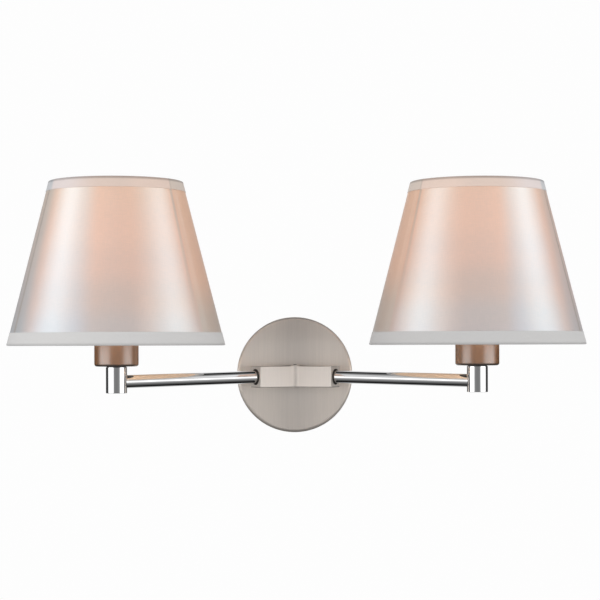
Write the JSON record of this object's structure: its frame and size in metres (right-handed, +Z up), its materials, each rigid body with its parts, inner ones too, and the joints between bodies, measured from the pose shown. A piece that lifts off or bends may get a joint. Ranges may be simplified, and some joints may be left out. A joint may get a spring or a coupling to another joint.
{
  "type": "double arm wall sconce",
  "caption": "Wall light with a round plate, a V bracket and straight arms, each ending in an upright post that carries a lampholder cup and a conical fabric shade.",
  "frame": {"origin": "centre of the wall plate's back, in the plane of the wall, midway between the two fixing slots", "axes": "+X along the wall to the right as seen from the room, +Y into the wall, +Z up"},
  "size_m": [0.5552, 0.2251, 0.2453],
  "materials": {
    "brushed_nickel": "fine brushed, satin nickel plated",
    "chrome": "bright chrome plated, polished",
    "satin_bronze": "satin bronze, slightly metallic",
    "black_plastic": "matt black moulded",
    "zinc_steel": "zinc plated",
    "brass": "plain turned",
    "holder_white": "moulded, satin",
    "terminal_plastic": "moulded, translucent white",
    "grommet_rubber": "matt",
    "lead_sheath": "extruded sheath",
    "earth_sheath": "extruded sheath",
    "pearl_satin": "pearl satin weave, soft sheen",
    "peach_liner": "smooth lining",
    "hem_tape": "plain woven tape",
    "shade_wire": "white coated wire",
    "bulb_glass": "frosted",
    "bulb_cap": "rolled"
  },
  "bodies": {
    "wall_mount": {"wall_strap": "zinc_steel", "cable_grommet": "grommet_rubber", "wall_plate": "brushed_nickel", "plate_screws": "brushed_nickel", "terminal_block": "terminal_plastic", "terminal_screws": "zinc_steel", "earth_screw": "brass", "bracket": "brushed_nickel", "bracket_back": "brushed_nickel", "bracket_screw": "zinc_steel", "bracket_nipple": "zinc_steel", "bracket_nuts": "zinc_steel", "supply_leads": "lead_sheath", "earth_lead": "earth_sheath", "left_arm_bush": "black_plastic", "right_arm_bush": "black_plastic"},
    "left_arm": {"left_arm_tube": "chrome", "left_arm_washer": "zinc_steel", "left_arm_lock_nut": "zinc_steel", "left_post": "chrome", "left_post_screws": "zinc_steel", "left_arm_lead": "lead_sheath"},
    "left_head": {"left_swivel_nipple": "zinc_steel", "left_swivel_washer": "black_plastic", "left_cup": "satin_bronze", "left_cup_nut": "zinc_steel", "left_lampholder": "holder_white", "left_screw_shell": "brass", "left_centre_contact": "brass", "left_shade_carrier": "shade_wire", "left_shade_ring": "holder_white", "left_shade_top_wire": "shade_wire", "left_shade_fabric": "pearl_satin", "left_shade_liner": "peach_liner", "left_shade_top_hem": "hem_tape", "left_shade_bottom_hem": "hem_tape"},
    "left_bulb": {"left_bulb_cap": "bulb_cap", "left_bulb_glass": "bulb_glass"},
    "right_arm": {"right_arm_tube": "chrome", "right_arm_washer": "zinc_steel", "right_arm_lock_nut": "zinc_steel", "right_post": "chrome", "right_post_screws": "zinc_steel", "right_arm_lead": "lead_sheath"},
    "right_head": {"right_swivel_nipple": "zinc_steel", "right_swivel_washer": "black_plastic", "right_cup": "satin_bronze", "right_cup_nut": "zinc_steel", "right_lampholder": "holder_white", "right_screw_shell": "brass", "right_centre_contact": "brass", "right_shade_carrier": "shade_wire", "right_shade_ring": "holder_white", "right_shade_top_wire": "shade_wire", "right_shade_fabric": "pearl_satin", "right_shade_liner": "peach_liner", "right_shade_top_hem": "hem_tape", "right_shade_bottom_hem": "hem_tape"},
    "right_bulb": {"right_bulb_cap": "bulb_cap", "right_bulb_glass": "bulb_glass"}
  },
  "joints": [
    {"name": "left_arm_turn", "type": "hinge", "parent": "wall_mount", "child": "left_arm", "pos_m": [-0.0398, -0.05276, -0.0017], "axis": [-0.8908, -0.4539, -0.0214], "range_deg": [-12, 12]},
    {"name": "left_head_swivel", "type": "hinge", "parent": "left_arm", "child": "left_head", "pos_m": [-0.1732, -0.12073, 0.0094], "axis": [0, 0, 1], "range_deg": [-165, 165]},
    {"name": "left_bulb_lift", "type": "slide", "parent": "left_head", "child": "left_bulb", "axis": [0, 0, 1], "range_m": [0, 0.026]},
    {"name": "right_arm_turn", "type": "hinge", "parent": "wall_mount", "child": "right_arm", "pos_m": [0.0398, -0.05276, -0.0017], "axis": [0.8908, -0.4539, -0.0214], "range_deg": [-12, 12]},
    {"name": "right_head_swivel", "type": "hinge", "parent": "right_arm", "child": "right_head", "pos_m": [0.1732, -0.12073, 0.0094], "axis": [0, 0, 1], "range_deg": [-165, 165]},
    {"name": "right_bulb_lift", "type": "slide", "parent": "right_head", "child": "right_bulb", "axis": [0, 0, 1], "range_m": [0, 0.026]}
  ]
}
